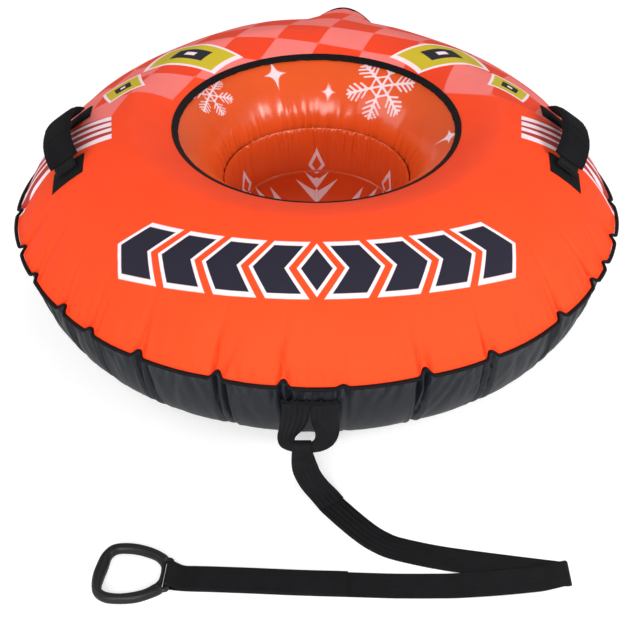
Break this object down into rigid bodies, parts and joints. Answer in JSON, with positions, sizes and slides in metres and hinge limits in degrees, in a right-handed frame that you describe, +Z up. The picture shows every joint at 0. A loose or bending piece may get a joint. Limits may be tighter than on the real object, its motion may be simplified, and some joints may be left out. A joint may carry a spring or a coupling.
{
  "type": "snow tube",
  "caption": "Inflatable snow tube in a gathered fabric cover, with padded side handles, a tow loop, a webbing tow strap and a moulded D handle",
  "frame": {"origin": "middle of the tube's underside, on the ground", "axes": "+Z up, the tow loop is on the -Y side, +X is the right side seen from the tow side"},
  "size_m": [0.9991, 1.2466, 0.306],
  "materials": {
    "printed_polyester": "woven polyester, sublimation printed",
    "coated_fabric": "slick coated woven base fabric",
    "black_binding": "matt woven edge tape and welt",
    "orange_vinyl": "glossy soft PVC film",
    "clear_vinyl": "semi-clear soft PVC",
    "padded_fabric": "woven cover over foam padding",
    "black_webbing": "woven polypropylene webbing",
    "black_plastic": "injection moulded, satin"
  },
  "bodies": {
    "tube": {"top_cover": "printed_polyester", "bottom_cover": "coated_fabric", "seam_piping": "black_binding", "rim_binding": "black_binding", "air_tube": "orange_vinyl", "seat_floor": "orange_vinyl", "valve_base": "clear_vinyl", "left_handle_front_tab": "padded_fabric", "left_handle_rear_tab": "padded_fabric", "right_handle_front_tab": "padded_fabric", "right_handle_rear_tab": "padded_fabric"},
    "left_handle": {"left_handle_sleeve": "padded_fabric", "left_handle_webbing": "black_webbing"},
    "right_handle": {"right_handle_sleeve": "padded_fabric", "right_handle_webbing": "black_webbing"},
    "loop": {"tow_loop": "black_webbing"},
    "strap": {"tow_strap": "black_webbing"},
    "handle": {"tow_handle": "black_plastic"},
    "plug": {"valve_plug": "clear_vinyl"}
  },
  "joints": [
    {"name": "left_handle_tip", "type": "hinge", "parent": "tube", "child": "left_handle", "pos_m": [-0.40153, -0.02737, 0.27112], "axis": [-0.068, 0.9977, 0], "range_deg": [-22, 22]},
    {"name": "right_handle_tip", "type": "hinge", "parent": "tube", "child": "right_handle", "pos_m": [0.40153, -0.02737, 0.27112], "axis": [0.068, 0.9977, 0], "range_deg": [-22, 22]},
    {"name": "loop_swing", "type": "hinge", "parent": "tube", "child": "loop", "pos_m": [-0.01, -0.4868, 0.117], "axis": [-1, 0, 0], "range_deg": [0, 45]},
    {"name": "strap_swing", "type": "hinge", "parent": "loop", "child": "strap", "pos_m": [-0.0165, -0.518, 0.058], "axis": [-1, 0, 0], "range_deg": [-30, 60]},
    {"name": "handle_swing", "type": "hinge", "parent": "strap", "child": "handle", "pos_m": [-0.1968, -0.703, 0.0078], "axis": [0.0701, 0.9975, 0], "range_deg": [-100, 100]},
    {"name": "plug_pull", "type": "slide", "parent": "tube", "child": "plug", "axis": [0, 0.7302, 0.6832], "range_m": [0, 0.012]}
  ]
}
